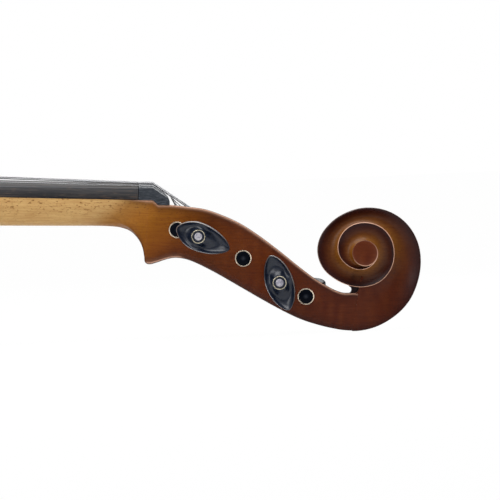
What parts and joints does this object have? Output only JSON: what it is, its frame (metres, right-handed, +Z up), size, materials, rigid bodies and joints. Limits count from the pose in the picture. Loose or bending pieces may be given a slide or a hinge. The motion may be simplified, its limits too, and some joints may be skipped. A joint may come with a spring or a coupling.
{
  "type": "five-string viola",
  "caption": "Bowed viola with a carved scroll, friction pegs, an arched hollow body with ribs, a bridge, a tailpiece with a fine tuner and strings wound on their pegs.",
  "frame": {"origin": "middle of the underside of the whole instrument, lying on its back on a table", "axes": "+X along the instrument towards the scroll, +Y towards the bass side, +Z up from the back to the belly"},
  "size_m": [0.7016, 0.236, 0.109],
  "materials": {
    "spruce": "gloss varnish",
    "maple": "gloss varnish",
    "neck_maple": "varnished head, bare oiled neck",
    "inner_wood": "bare",
    "ebony": "polished black",
    "bridge_maple": "bare",
    "pearl": "pearl lustre",
    "pale_metal": "polished",
    "steel": "polished",
    "string_wrap": "fine wound",
    "gut": "smooth"
  },
  "bodies": {
    "viola": {"neck_scroll": "neck_maple", "fingerboard": "ebony", "nut": "ebony", "top_plate": "spruce", "back_plate": "maple", "upper_rib_treble": "maple", "waist_rib_treble": "maple", "lower_rib_treble": "maple", "upper_corner_block_treble": "inner_wood", "lower_corner_block_treble": "inner_wood", "upper_rib_bass": "maple", "waist_rib_bass": "maple", "lower_rib_bass": "maple", "upper_corner_block_bass": "inner_wood", "lower_corner_block_bass": "inner_wood", "neck_block": "inner_wood", "end_block": "inner_wood", "bass_bar": "inner_wood", "sound_post": "inner_wood", "bridge": "bridge_maple", "saddle": "ebony", "end_button": "ebony", "fine_tuner_body": "steel", "tailpiece": "ebony", "tailgut": "gut", "string_e": "string_wrap", "string_a": "string_wrap", "string_d": "string_wrap", "string_g": "string_wrap", "string_c": "string_wrap"},
    "peg_c": {"peg_c": "ebony", "peg_c_eye_ring": "pale_metal", "peg_c_eye_dot": "pearl"},
    "peg_e": {"peg_e": "ebony", "peg_e_eye_ring": "pale_metal", "peg_e_eye_dot": "pearl"},
    "peg_g": {"peg_g": "ebony", "peg_g_eye_ring": "pale_metal", "peg_g_eye_dot": "pearl"},
    "peg_a": {"peg_a": "ebony", "peg_a_eye_ring": "pale_metal", "peg_a_eye_dot": "pearl"},
    "peg_d": {"peg_d": "ebony", "peg_d_eye_ring": "pale_metal", "peg_d_eye_dot": "pearl"},
    "fine_tuner_lever": {"fine_tuner_lever": "steel"},
    "fine_tuner_screw": {"fine_tuner_screw": "steel"}
  },
  "joints": [
    {"name": "peg_c_turn", "type": "hinge", "parent": "viola", "child": "peg_c", "pos_m": [0.22978, 0, 0.05431], "axis": [0, 1, 0], "continuous": true},
    {"name": "peg_e_turn", "type": "hinge", "parent": "viola", "child": "peg_e", "pos_m": [0.24049, 0, 0.05084], "axis": [0, -1, 0], "continuous": true},
    {"name": "peg_g_turn", "type": "hinge", "parent": "viola", "child": "peg_g", "pos_m": [0.26208, 0, 0.03868], "axis": [0, 1, 0], "continuous": true},
    {"name": "peg_a_turn", "type": "hinge", "parent": "viola", "child": "peg_a", "pos_m": [0.27955, 0, 0.02637], "axis": [0, -1, 0], "continuous": true},
    {"name": "peg_d_turn", "type": "hinge", "parent": "viola", "child": "peg_d", "pos_m": [0.29248, 0, 0.01836], "axis": [0, 1, 0], "continuous": true},
    {"name": "fine_tuner_screw_travel", "type": "slide", "parent": "viola", "child": "fine_tuner_screw", "axis": [0.1549, 0.4034, -0.9018], "range_m": [0, 0.002]},
    {"name": "fine_tuner_lever_turn", "type": "hinge", "parent": "viola", "child": "fine_tuner_lever", "pos_m": [-0.2181, -0.01904, 0.08398], "axis": [0.0683, -0.915, -0.3976], "range_deg": [0, 7.85]}
  ],
  "couplings": [
    {"joint": "fine_tuner_lever_turn", "follows": "fine_tuner_screw_travel", "rad_per_m": 68.53}
  ]
}
